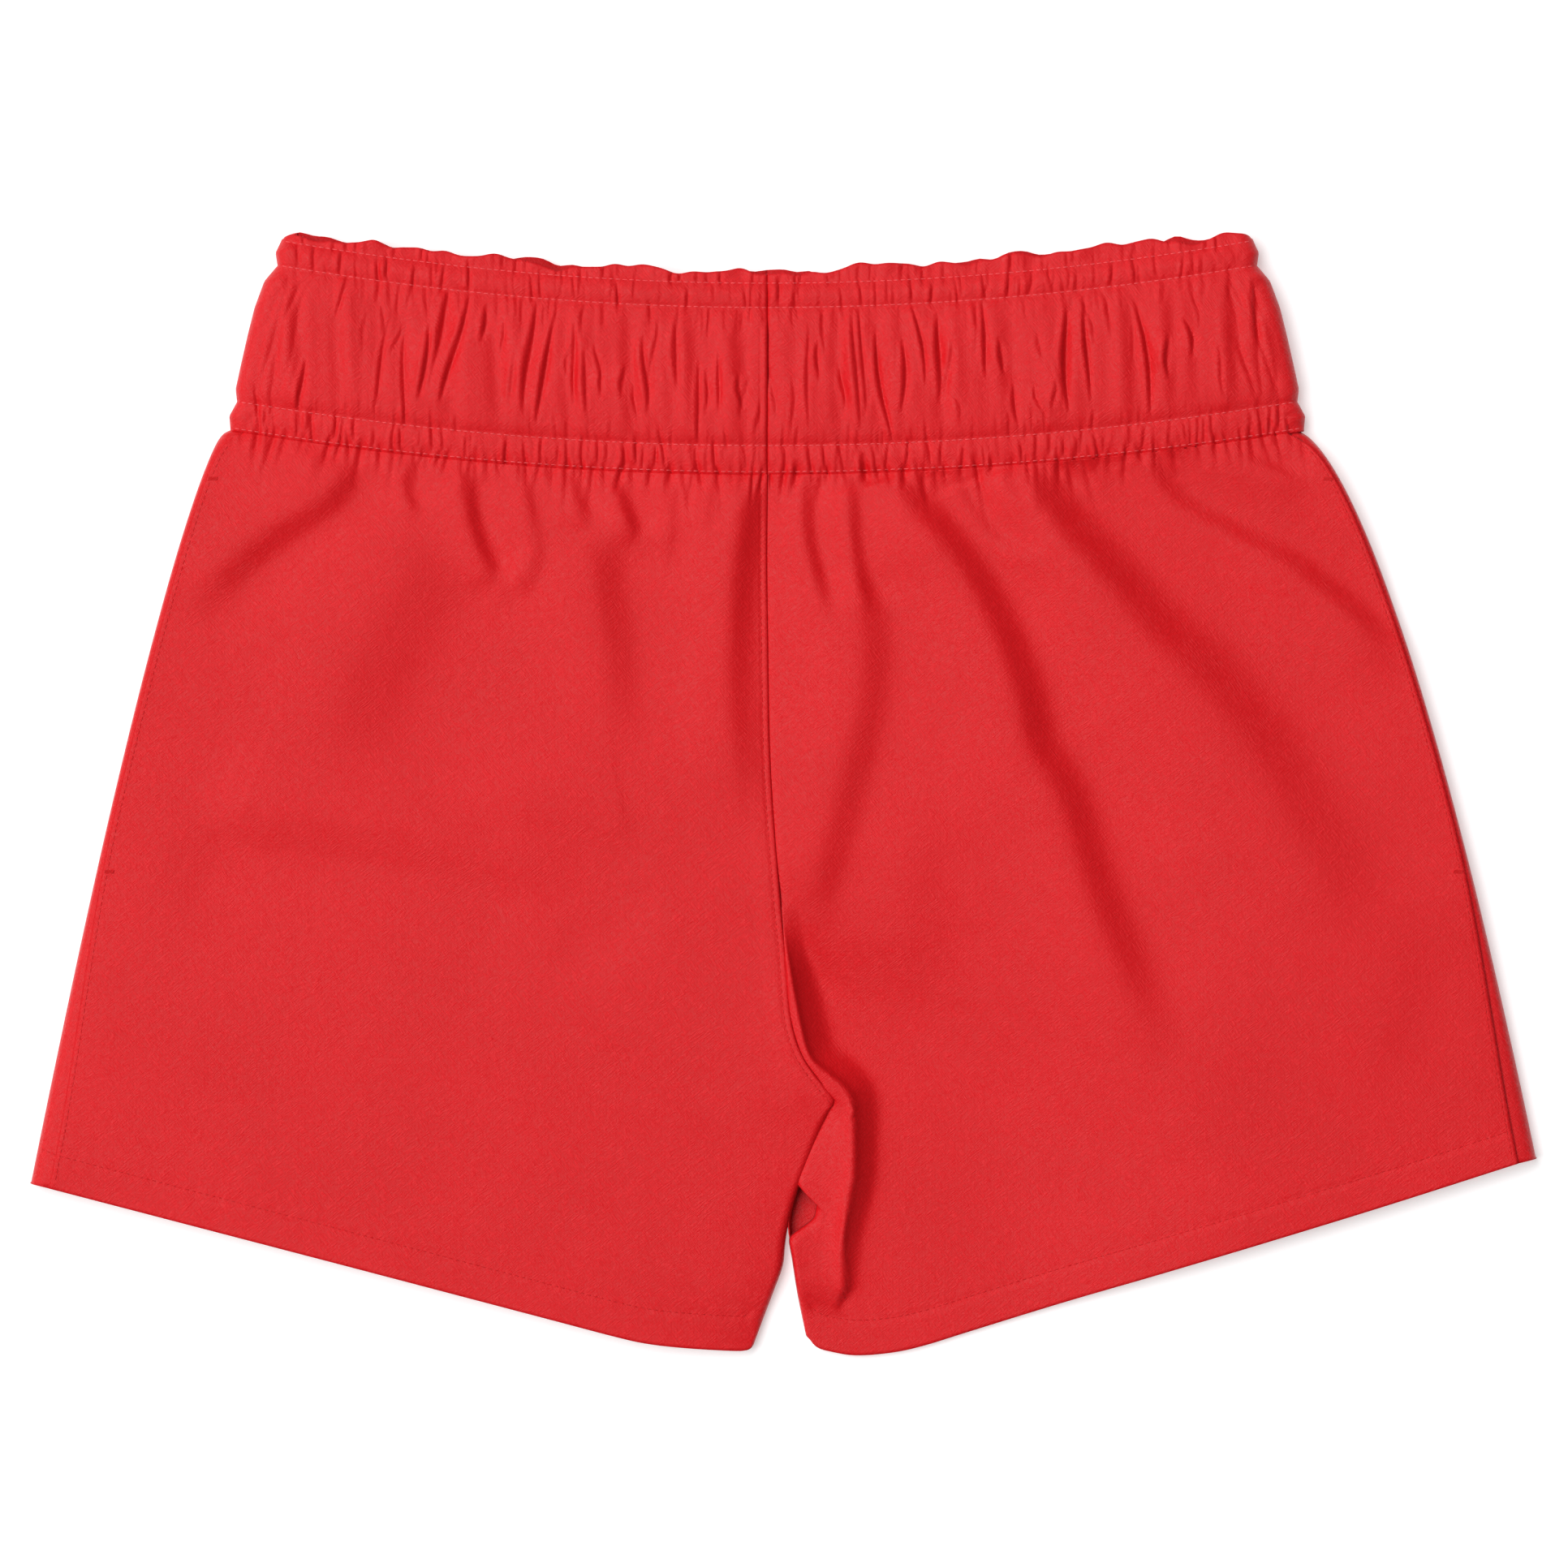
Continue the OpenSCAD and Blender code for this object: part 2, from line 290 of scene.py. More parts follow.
# Each fold: the line along the middle of its shaded slope, how steep that is, how wide the crest and
# the trough beside it are, and what else fold() takes.
FOLDS = [
    # left panel
    ([(-157, 127), (-165, 109), (-186, 95), (-205, 79), (-226, 58)],
     0.46, 4.6, 4.6, dict(slope_end=0.3, widen=1.5, fade_out=36)),
    ([(-116, 98), (-134, 66), (-150, 36), (-163, -6)], 0.15, 16, 15, dict(fade_in=30, fade_out=45)),
    ([(-117, 125), (-115, 103), (-110, 88), (-104, 78)], 0.6, 2.6, 3.2, dict(fade_out=8)),
    ([(-104, 77), (-97, 75.5), (-91, 84), (-90, 104)], -0.2, 3, 3, dict(fade_in=6, fade_out=14)),
    ([(-170, 128), (-176, 112)], 0.35, 1.8, 2.2, dict(fade_in=3, fade_out=12)),
    ([(-137, 126), (-139, 112), (-133, 101)], 0.45, 2, 2.6, dict(fade_in=3, fade_out=9)),
    ([(-96, 122), (-93, 104), (-90, 92)], 0.35, 1.8, 2.4, dict(fade_in=3, fade_out=14)),
    ([(-80, 122), (-75, 108), (-70, 96)], 0.45, 2.2, 2.8, dict(fade_in=3, fade_out=12)),
    ([(-67, 100), (-64, 74), (-60, 46), (-57, 6)],
     0.3, 6, 7, dict(slope_end=0.15, widen=1.2, fade_in=18, fade_out=40)),
    ([(-65, 122), (-59, 108), (-53, 91)], 0.6, 2.4, 3.0, dict(fade_in=3, fade_out=9)),
    ([(-41, 119), (-41, 98), (-44, 74)], 0.2, 1.8, 2.2, dict(fade_in=3, fade_out=24)),
    ([(-27, 118), (-27, 104), (-30, 92)], 0.25, 1.8, 2.2, dict(fade_in=3, fade_out=16)),
    ([(-9, 121), (-13, 96), (-15.5, 67), (-15.5, 35), (-12, 4), (-6, -30)],
     0.62, 4.0, 5.0, dict(slope_end=0.16, widen=1.7, fade_in=3, fade_out=50)),
    ([(-78, -42), (-110, -30), (-154, -19), (-198, -15), (-222, -4)],
     0.17, 9, 9, dict(fade_in=30, fade_out=25)),
    ([(-50, -14), (-64, -17), (-91, -10), (-130, -3)], 0.12, 6, 6, dict(fade_in=14, fade_out=35)),
    ([(-44, -26), (-52, -48), (-70, -64), (-96, -74)], -0.07, 10, 8, dict(fade_in=25, fade_out=30)),
    # right panel
    ([(9, 120), (9, 98), (13, 80), (19, 60)], 0.55, 2.4, 3.2, dict(fade_in=3, fade_out=22)),
    ([(25, 121), (26, 98), (28.5, 80), (34, 64)], 0.55, 2.2, 3.6, dict(fade_in=3, fade_out=14)),
    ([(29, 88), (34, 62), (33, 34), (26, 4), (17, -30), (10, -56)],
     0.27, 6.2, 6.6, dict(fade_in=22, fade_out=30)),
    ([(45, 121), (50, 108), (60, 97), (72, 80), (83, 58), (91, 36),
      (95, 18), (106, 0), (118, -37), (131, -68), (149, -112)],
     0.62, 5.6, 7.2, dict(slope_end=0.36, widen=1.25, fade_in=4, fade_out=70)),
    ([(64, 116), (70, 106), (80, 94), (100, 86)], 0.36, 2.2, 2.8, dict(fade_in=4, fade_out=14)),
    ([(82, 124), (84, 112), (90, 104)], 0.3, 1.8, 2.2, dict(fade_in=3, fade_out=10)),
    ([(92, 126), (101, 106), (119, 86), (138, 64), (158, 45),
      (177, 22), (194, -6), (211, -36), (224, -68)],
     0.62, 6.2, 9.0, dict(slope_end=0.1, widen=2.0, fade_in=4, fade_out=45)),
    ([(135, 129), (145, 110), (165, 98), (188, 86), (213, 66), (234, 44)],
     0.48, 3.6, 4.6, dict(widen=1.4, fade_in=4, fade_out=30)),
    ([(161, 132), (177, 122), (197, 114)], 0.45, 2.4, 3.0, dict(fade_in=4, fade_out=14)),
    ([(112, 123), (128, 106), (150, 88), (176, 66)], 0.14, 5, 5.5, dict(fade_in=10, fade_out=30)),
    ([(56, 0), (53, -36), (57, -80)], 0.08, 12, 10, dict(fade_in=25, fade_out=30)),
    ([(52, -92), (90, -108), (130, -126), (165, -142)], -0.05, 12, 12, dict(fade_in=30, fade_out=30)),
    ([(228, -34), (232, -74), (212, -112)], 0.07, 11, 11, dict(fade_in=25, fade_out=30)),
]
# The crest of the fold that runs down beside the crotch, where the cloth of both legs is bunched.
RIDGE = [
    (-1, -44), (1.4, -60), (4.2, -76), (7.6, -92), (10.6, -99), (17.0, -104.4), (22.3, -108.8),
    (25.2, -114), (25.9, -129), (25.7, -141), (23.8, -152), (22.0, -163), (21.7, -173),
    (22.4, -184), (19.5, -192.5),
]
CREST_RISE = 2.8        # how far the crease stands above the cloth round it
CLIFF = 2.6             # the fall to its right: this far straight down
SLOPE_DROP = 10.0       # and this far down the slope that follows
TONGUE = 8.8            # height of the cloth between the crease and the left leg
LOWEST_FRONT = 2.5      # the front's outer face comes no lower than this


def ridge(half, x, y, z, leg, inward):
    """The bunched fold: a crease that stands up, falls steeply to its right and comes back slowly.
    Below the crotch the cloth to its left is a tongue that lies lower, under the left leg."""
    off = line_place(RIDGE, x, y)[1]
    if half is LEFT:
        lifted = ramp(-y, 44, 96) * (1 - ramp(-y, 108, 160))
        return z + CREST_RISE * np.exp(-np.abs(off) / 30) * lifted
    foot = ramp(-y, 180, 200)
    sharp = ramp(-y, 46, 72) * (1 - foot)
    broad = ramp(-y, 20, 108)
    crest = z + CREST_RISE * sharp - 3.6 * ramp(-y, 145, 192)
    width = 7.0 + 9.5 * ramp(-y, 50, 100)
    t = np.clip(off / width, 0, 1)
    line_x = -4 + 28 * ramp(-y, 30, 130)
    back = 1 - ramp(x - line_x, 12, 150)
    fall = (1 - (1 - t) ** 1.45) * (1 - foot) + foot
    cliff = CLIFF * (1 - np.exp(-np.clip(off, 0, None) / 0.8)) * (1 - ramp(off, 4, 45))
    right = crest - sharp * cliff
    right = right - broad * SLOPE_DROP * fall * back - (crest - z) * ramp(off, 0, width)
    left = z + sharp * CREST_RISE * np.exp(np.clip(off, None, 0) / 13)
    plane = TONGUE + (0.1 - 0.2 * ramp(-y, 130, 165)) * inward - 1.8 * ramp(-y, 150, 192)
    tongue = plane + (crest - plane) * np.exp(np.clip(off, None, 0) / 4.5)
    left = left + leg * sharp * (tongue - left) - foot * SLOPE_DROP * back
    at_line = right * (1 - foot) + (z - SLOPE_DROP * back) * foot
    return np.where(off > 0, at_line, left)


def notch(y):
    """How far the front of the right leg is turned under at the notch where the inside shows."""
    return 10.2 * ramp(-y, 142.5, 152.5) * (1 - ramp(-y, 156, 166))


def waist_z(x):
    """Height of the seam between the panels and the waistband."""
    from_end = np.clip(WAIST_HALF - np.abs(x - SEAM_X), 0, None)
    return BODY_TOP - 2.2 - 2.9 * np.exp(-from_end / 9)


def front_fall(half, x, y):
    """Height of the front before its folds, lower at the side seam."""
    from_seam = np.clip(np.abs(half.seam(y) - x), 0, None)
    full = BODY_TOP - 1.2 - 2.4 * ramp(-y, 60, 205)
    seam_height = 11.6 - 1.4 * ramp(-y, -60, 140)
    return seam_height + (full - seam_height) * (1 - np.exp(-from_seam / 6.5))


def front_height(half, x, y):
    """Height of the front's outer face."""
    z = front_fall(half, x, y)
    for *shape, more in FOLDS:
        z = z + fold(x, y, *shape, **more)
    below = waist_y(x) - y
    near = np.exp(-np.clip(below, 0, None) / 5.5)
    z = z * (1 - near) + waist_z(x) * near
    leg = ramp(-y, 108, 122)
    inward = np.clip(half.side * (x - inner_x(half, y)), 0, None)
    z = ridge(half, x, y, z, leg, inward)
    if half is LEFT:
        z = z - leg * (1.0 + 1.6 * ramp(-y, 150, 200)) * np.exp(-inward / 14)
        z = z - 1.8 * ramp(-y, 176, 207) * np.exp(-inward / 30)
    z = z - LOWEST_FRONT
    z = LOWEST_FRONT + 0.5 * (z + np.sqrt(z**2 + 3))
    return z + puckers(x, -below) + hem_relief(half, x, y) + seam_relief(half, x, y)


def puckers(x, s):
    """Small gathers at the waist seam, in the panels below it and the channel above it."""
    random = np.random.default_rng(11)
    z = np.zeros(x.shape)
    for place in np.arange(-203, 190, 3.6):
        centre = place + random.uniform(-1.6, 1.6)
        reach = random.uniform(3.0, 6.5) * (2.0 if random.random() < 0.3 else 1)
        width = random.uniform(0.55, 1.25)
        depth = random.uniform(0.3, 1.0)
        lean = random.uniform(-0.2, 0.2) + 0.15 * (centre - SEAM_X) / 200
        fall = np.where(s < 0, np.exp(-((s / reach) ** 2)), np.exp(-((s / 3.2) ** 2)))
        off = (x - centre + lean * s) / width
        z = z - depth * fall * (off * np.exp(0.5 - 0.5 * off**2) + 0.35 * np.exp(-0.5 * off**2))
    return z


def hem_line(half):
    """The hem's edge from the side seam to the inner corner."""
    y = half.corner[1] - CORNER_STEP
    return [(float(half.seam(y)), y)] + half.hem


HEM_DEPTH = 13.0        # from the hem's edge up to its stitching


def above_hem(half, x, y):
    """Height above the hem's edge."""
    line = curve(hem_line(half), 200)
    order = np.argsort(line[:, 0])
    return y - np.interp(x, line[order, 0], line[order, 1])


def hem_relief(half, x, y):
    """The hem is two layers thicker, drawn in at its stitching."""
    up = above_hem(half, x, y)
    ripple = 0.07 * np.sin(x * 0.9 + 2 * np.sin(x * 0.07)) * np.exp(-(((up - HEM_DEPTH) / 3) ** 2))
    fold_in = 0.3 * (1 - ramp(up, HEM_DEPTH - 0.2, HEM_DEPTH + 2.2))
    return fold_in - 0.55 * np.exp(-(((up - HEM_DEPTH) / 0.85) ** 2)) + ripple


def seam_relief(half, x, y):
    """The centre seam's allowance is pressed to the left and stitched down."""
    line = curve(CENTRE_SEAM, 200)
    order = np.argsort(line[:, 1])
    off = x - np.interp(y, line[order, 1], line[order, 0])
    live = 1 - ramp(-y, 104, 112)
    if half is LEFT:
        raised = 0.16 * ramp(off, -10, -5)
        groove = 0.25 * np.exp(-(((off + 2.3) / 0.6) ** 2))
        return live * (raised - groove)
    return live * -0.7 * np.exp(-np.clip(off, 0, None) / 1.3)


# ---- panels


def outline(half, rows):
    """The inner edge of a panel at the given shares of its length: the centre seam, then the leg."""
    leg = curve([CENTRE_SEAM[-1]] + half.inner, 30)
    return curve(np.vstack([curve(CENTRE_SEAM, 40)[:-1], leg]), at=rows)


LEAST_ROLL = 0.6        # how far the front's inner edge curves under along the centre seam


def roll_radius(half, y):
    """How far the front's inner edge curves under, which is more along the leg."""
    more = ramp(-y, 106, 120) * (1 - 0.6 * ramp(-y, 192, 200))
    return LEAST_ROLL + (half.roll - LEAST_ROLL) * more


def front_panel(half):
    """One front panel from the waist seam to the hem, its inner edge turned under."""
    rows = spread([(26, 0.75), (224, 1.8), (80, 1.35)])
    columns = spread([(192, 0.94), (8, 0.4)])
    ys = np.linspace(WAIST_END_Y - SIDE_START, half.corner[1] - CORNER_STEP, 60)
    outer = curve(np.stack([half.seam(ys), ys], axis=1), at=rows)
    inner = outline(half, rows)
    bottom = curve(hem_line(half)[:-1] + [tuple(inner[-1])], at=columns)
    xs = np.linspace(outer[0][0], SEAM_X, 60)
    top = curve(np.stack([xs, waist_y(xs)], axis=1), at=columns)
    outer[0], inner[0], outer[-1], inner[-1] = top[0], top[-1], bottom[0], bottom[-1]
    flat = patch(outer, inner, top, bottom)
    x, y = flat[..., 0], flat[..., 1]
    under_x, under_y = inner[:, :1], inner[:, 1:]
    turned = under_x
    if half is RIGHT:
        turned = under_x + notch(under_y)
        x = x + (turned - under_x) * (1 - np.clip((x - under_x) / 24, 0, 1))
    z = front_height(half, x, y)
    radius = roll_radius(half, under_y)
    near = np.clip(1 - np.abs(x - turned) / radius, 0, 1)
    z = z - radius * (1 - np.sqrt(1 - near**2))
    return facing(np.stack([x, y, z], axis=-1), half.side)


BACK_LOW = 0.5          # height of the back where it lies on the floor


def back_height(x, y, phase):
    """The back lies on the floor with a few low waves."""
    wave = np.sin(x * 0.021 + phase) * np.sin(y * 0.017 + 2 * phase)
    wave = wave + 0.6 * np.sin(x * 0.043 - y * 0.027 + phase)
    return BACK_LOW + 0.45 * np.clip(wave, 0, None)


# The side strip's profile: its share of the way out to the folded edge and up to the side seam.
RIM = [
    (-0.3, 1.02), (-0.06, 1.0), (0.04, 0.985), (0.3, 0.975), (0.55, 0.92), (0.75, 0.82),
    (0.89, 0.66), (0.97, 0.46), (1.0, 0.24), (0.985, 0.07),
]


def back_panel(half):
    """One back panel. It wraps round the folded side edge to the side seam on the front, and on the
    inside of the leg it comes up to meet the front."""
    rows = spread([(5, 0.9), (325, 2.6)])
    close = [0.9925, 0.9950, 0.9970, 0.9982, 0.9990, 0.9996, 1.0]
    columns = np.concatenate([spread([(200, 2.2)]) * 0.989, close])
    ys = np.linspace(WAIST_END_Y + SIDE_START, half.corner[1] - CORNER_STEP, 60)
    line_y = curve(np.stack([half.seam(ys), ys], axis=1), at=rows)[:, 1]
    seam_x = half.seam(line_y)
    edge_x = half.edge(line_y)
    seam_z = front_height(half, seam_x, line_y) - 0.25
    inner = outline(half, rows)
    xs = np.linspace(edge_x[0], SEAM_X, 40)
    bottom = curve([half.corner] + half.hem, at=columns)
    top = curve(np.stack([xs, waist_y(xs)], axis=1), at=columns)
    outer = np.stack([edge_x, line_y], axis=1)
    outer[-1] = half.corner
    bottom[-1] = inner[-1]
    flat = patch(outer, inner, top, bottom)
    x, y = flat[:, 1:, 0], flat[:, 1:, 1]
    z = back_height(x, y, 1.3 if half is LEFT else 2.9)
    under_x, under_y = inner[:, :1], inner[:, 1:]
    leg = ramp(-under_y, 108, 120)
    meet = front_height(half, under_x, under_y) - roll_radius(half, under_y) - 0.1
    z = z + leg * (meet - z) * np.exp(-(((x - under_x) / 0.5) ** 2))
    strip = []
    for out, up in RIM:
        rim_x, rim_z = seam_x + (edge_x - seam_x) * out, BACK_LOW + (seam_z - BACK_LOW) * up
        strip.append(np.stack([rim_x, line_y, rim_z], axis=1))
    strip = np.stack(strip, axis=1)
    strip[-1, :, 1] = half.corner[1] - CORNER_STEP * (1 - np.array(RIM)[:, 0].clip(0))
    grid = np.concatenate([strip, np.stack([x, y, z], axis=-1)], axis=1)
    # seen from above the strip faces up and the rest faces down, so one winding serves both
    return facing(grid, half.side)


# ---- waistband

CHANNEL, WIDE, TOP = 10.5, 61.5, 70.5       # rows of stitches above the waist seam
FRILL = 73.6                                # the folded top edge
# Each channel: where it starts and ends, how far it bulges, and over what width that begins.
CHANNELS = [
    (0, CHANNEL, 1.1, 2.6), (CHANNEL, WIDE, 1.9, 4.5), (WIDE, TOP, 1.1, 2.4), (TOP, 84, 0.4, 2),
]
# Heights above the waist seam, and half the waistband's width at each.
ENDS = (
    [0, 5, 10.5, 15, 25, 35, 45, 55, 61.5, 66, 70.5, 76],
    [198.4, 198.8, 195.9, 196.4, 194.2, 191.9, 189.4, 185.8, 180.9, 181.6, 179.6, 178.0],
)
NARROWING = 0.0011      # the share by which gathers draw together for each millimetre of height
BAND_BACK_Z = 0.6       # height of the waistband's back at its fullest


def end_half(s):
    """Half the waistband's width at s above the waist seam."""
    return np.interp(s, *ENDS)


def channel_bulge(s):
    """Height of the channels between the rows of stitches."""
    z = np.zeros(np.shape(s))
    for low, high, rise, shoulder in CHANNELS:
        edge = np.clip(np.minimum(s - low, high - s), 0, None)
        z = np.where((s >= low) & (s < high), rise * (1 - np.exp(-edge / shoulder)), z)
    return z


def from_row(s):
    """Distance from the nearest row of stitches, along the waistband's height."""
    return np.min([np.abs(s - row) for row in (0, CHANNEL, WIDE, TOP)], axis=0)


def crease(off, depth):
    """A gather: a short steep fall to the right, sharp at its foot."""
    return -depth * (off * np.exp(0.5 - 0.5 * off**2) + 0.4 * np.exp(-2 * (off - 0.5) ** 2))


def wide_gathers(x, s, random):
    """Wrinkles of the wide channel: a few long ones, many short wedges, and soft swells."""
    z = np.zeros(x.shape)
    place = -WAIST_HALF + 14
    while place < WAIST_HALF - 10:
        at_end = ramp(abs(place), 150, 180)
        place += 1.8 + 8.2 * random.random() ** 1.5 * (1 + 0.5 * at_end)
        major = random.random() < 0.36 - 0.2 * at_end
        long = random.uniform(24, 48) if major else random.uniform(9, 25)
        reach = (CHANNEL + 15, WIDE - 14) if major else (CHANNEL + 6, WIDE - 6)
        middle = random.uniform(*reach)
        width = random.uniform(0.9, 1.7) if major else random.uniform(0.7, 1.3)
        depth = width * (random.uniform(0.45, 0.85) if major else random.uniform(0.2, 0.65))
        lean = random.uniform(-0.13, 0.13) + 0.05 * place / WAIST_HALF
        bend, phase = random.uniform(0.3, 1.6), random.uniform(0, 6.3)
        t = (s - middle) / (0.5 * long)
        line = place + lean * (s - middle) + bend * np.sin(2.1 * t + phase)
        taper = width * np.clip(1.05 - 0.6 * np.abs(t), 0.4, None)
        off = (x - SEAM_X - line * (1 - NARROWING * (s - CHANNEL))) / taper
        live = np.clip(1 - np.abs(t) ** 2.4, 0, None)
        live = live * ramp(s, CHANNEL, CHANNEL + 3) * (1 - ramp(s, WIDE - 3, WIDE))
        beside = 0.4 * depth * np.exp(-0.5 * ((off + 2.5) / 2.2) ** 2)
        z = z + live * crease(off, depth) + live * beside
    from_rows = np.sin(math.pi * np.clip((s - CHANNEL) / (WIDE - CHANNEL), 0, 1)) ** 0.7
    for length, tall in [(23, 0.45), (13.7, 0.34), (8.3, 0.2)]:
        a, b = random.uniform(0, 6.3, 2)
        swell = np.sin(2 * math.pi * x / length + a + 1.4 * np.sin(x * 0.057 + b) + 0.03 * s)
        z = z + tall * swell * from_rows
    return z


def row_gathers(x, s, random, low, high, pitch, depth):
    """Short wrinkles across a narrow channel, or beside a row of stitches, in uneven clusters."""
    z = np.zeros(x.shape)
    place, middle, half = -WAIST_HALF, (low + high) / 2, (high - low) / 2
    while place < WAIST_HALF:
        place += pitch * (0.4 + 2.4 * random.random() ** 2.6)
        width = random.uniform(0.5, 0.95)
        lean, bend = random.uniform(-0.12, 0.12), random.uniform(-0.3, 0.3)
        deep = depth * random.uniform(0.2, 1.0) ** 1.4
        start = random.uniform(-0.5, 0.5) * half
        t = (s - middle - start) / (half * random.uniform(0.8, 1.25))
        line = place * (1 - NARROWING * middle) + lean * (s - middle) + bend * t**2
        off = (x - SEAM_X - line) / width
        z = z + crease(off, deep) * np.exp(-(np.abs(t) ** 3))
    return z


def gathers(x, s, seed):
    """Upright wrinkles that the elastics draw in the casing, different in each channel."""
    random = np.random.default_rng(seed)
    z = wide_gathers(x, s, random)
    z = z + row_gathers(x, s, random, 0.5, CHANNEL - 0.5, 3.3, 0.75)
    z = z + row_gathers(x, s, random, CHANNEL - 1, CHANNEL + 7, 4.2, 0.4)
    z = z + row_gathers(x, s, random, WIDE - 8, WIDE + 1, 4.0, 0.45)
    z = z + row_gathers(x, s, random, WIDE + 0.5, TOP - 0.5, 4.0, 0.75)
    z = z + row_gathers(x, s, random, TOP - 1, FRILL + 1, 5.0, 0.5)
    # wrinkles along both ends of the wide channel
    from_end = end_half(s) - np.abs(x - SEAM_X)
    for inset, deep in [(6.6, 0.4), (9.2, 0.5), (12.5, 0.45), (16.5, 0.3)]:
        off = (from_end - inset - 0.8 * np.sin(s * 0.13 + inset)) / 0.7
        wide = ramp(s, CHANNEL, CHANNEL + 9) * (1 - ramp(s, WIDE - 10, WIDE))
        narrow = np.maximum(1 - np.abs(s - 5.3) / 5, 1 - np.abs(s - 66) / 4.5).clip(0)
        z = z - deep * np.exp(-0.5 * off**2) * np.maximum(wide, 0.9 * narrow)
    return z + band_seam(x)


def band_seam(x):
    """The seam at the middle of the waistband, with its allowance on the left."""
    off = x - SEAM_X
    left = 0.35 * ramp(off, -8, -5.5) - 0.3 * np.exp(-(((off + 2.4) / 0.6) ** 2))
    return left * (off < 0) - 1.1 * np.exp(-np.abs(off) / 0.5)


def band_front_z(x, s):
    """Height of the front of the waistband before its gathers."""
    from_end = np.clip(end_half(s) - np.abs(x - SEAM_X), 0, None)
    base = waist_z(x) + 1.9 * ramp(s, 0, 16) * (1 - 0.35 * np.exp(-from_end / 9))
    base = base - 1.4 * ramp(s, WIDE + 4, FRILL)
    return base + 0.15 - 0.5 * np.exp(-np.clip(s + 0.3, 0, None) / 0.5) + channel_bulge(s)


def band_back_z(x, s):
    """Height of the back of the waistband before its gathers."""
    return np.broadcast_to(BAND_BACK_Z + 0.25 * (1.9 - channel_bulge(s)), x.shape)


def frill_wave(x, seed):
    """How the folded top edge wanders: along the band's height, and in height above the floor."""
    random = np.random.default_rng(seed)
    rise = 0.9 + 2.1 * np.exp(-(((x - 92) / 42) ** 2))
    lift = np.zeros(x.shape)
    uneven = 0.6 * np.sin(2 * math.pi * x / 71)
    for length, tall in [(83, 0.9), (47, 0.8), (27, 0.65), (15, 0.45), (9, 0.16)]:
        a, b = random.uniform(0, 6.3, 2)
        rise = rise + tall * np.sin(2 * math.pi * x / length + a + uneven)
        lift = lift + 0.5 * tall * np.sin(2 * math.pi * x / (0.8 * length) + b)
    return rise, lift


BAND_ROLL = 6.0         # how far the waistband's end curves in, seen from above
CASING_COLUMNS = (300, 14, 80)      # along the front, round the end and along the back
TAPE_COLUMNS = (60, 10, 40)


def band_sheet(side, s_column, lift_front, lift_back, seed, counts, relief, drop=0.0):
    """A strip round one half of the waistband, as far inside its outer face as lift_front and
    lift_back say. relief adds the gathers, and drop=1 keeps the strip out of the frill."""
    s = s_column[:, None]
    start_roll = SEAM_X + side * end_half(s) - side * BAND_ROLL
    front_x = SEAM_X + (start_roll - SEAM_X) * np.linspace(0, 1, counts[0])[None]
    angle = np.linspace(0, math.pi, counts[1] + 2)[None, 1:-1]
    back_x = start_roll + (SEAM_X - start_roll) * np.linspace(0, 1, counts[2])[None]
    front_z = band_front_z(front_x, s) - lift_front[:, None]
    back_z = band_back_z(back_x, s) + lift_back[:, None]
    if relief:
        front_z = front_z + gathers(front_x, s, seed) + puckers(front_x, s)
        back_z = back_z - 0.3 * np.clip(gathers(back_x, s, seed + 1), -2.0, 0.3)
    middle = (front_z[:, -1:] + back_z[:, :1]) / 2
    tall = (front_z[:, -1:] - back_z[:, :1]) / 2
    reach = BAND_ROLL - lift_front[:, None]
    roll_x = start_roll + side * reach * np.sin(angle) ** 0.8
    roll_z = middle + tall * np.cos(angle)
    x = np.hstack([front_x, roll_x, back_x])
    z = np.hstack([front_z, roll_z, back_z])
    front_rise, lift = frill_wave(x, 5)
    back_rise = frill_wave(x, 8)[0]
    behind = ramp(np.arange(x.shape[1]), counts[0], counts[0] + counts[1])[None]
    rise = front_rise * (1 - behind) + back_rise * behind
    from_end = end_half(s) - np.abs(x - SEAM_X)
    up = ramp(s, TOP - 2, FRILL) * (1 - drop) * (1 - 0.7 * np.exp(-np.abs(from_end) / 9))
    drawn_in = 2.4 * ramp(s, TOP, FRILL) * np.exp(-np.clip(from_end, 0, None) / 2.5)
    y = waist_y(x, s + rise * up) - drawn_in
    z = z + np.where(behind < 0.5, lift, 0) * up
    return np.stack([x, y, z], axis=-1)


def casing(side, seed):
    """The casing: up the outside, over the frilled edge and down the inside."""
    rows = spread([(CHANNEL + 0.3, 0.72), (WIDE - CHANNEL, 1.2), (FRILL - WIDE, 0.8)])
    outside = -0.3 + rows * (FRILL + 0.3)
    inside = FRILL - spread([(FRILL, 3.2)]) * (FRILL - 0.6)
    s_column = np.concatenate([outside, inside])
    gap = 1.2 + 3.4 * (1 - np.exp(-from_row(inside)))
    depth = np.concatenate([np.zeros(len(outside)), gap])
    grid = band_sheet(side, s_column, depth, depth * 0.7, seed, CASING_COLUMNS, True)
    plain = band_sheet(side, s_column, depth, depth * 0.7, seed, CASING_COLUMNS, False)
    grid[len(outside):, :, 2] = plain[len(outside):, :, 2]
    return facing(grid, side)


def elastic(s_low, s_high):
    """A flat elastic tape inside the casing, one closed loop round the waist."""
    count = max(10, round((s_high - s_low) / 1.1))
    s_column = np.linspace(s_low, s_high, count)
    depth = np.full(count, 3.0)
    left, right = [
        band_sheet(side, s_column, depth, depth * 0.6, None, TAPE_COLUMNS, False, 1.0)
        for side in (-1, 1)
    ]
    return np.concatenate([left, right[:, ::-1][:, 1:-1]], axis=1)


# ---- stitches and small parts


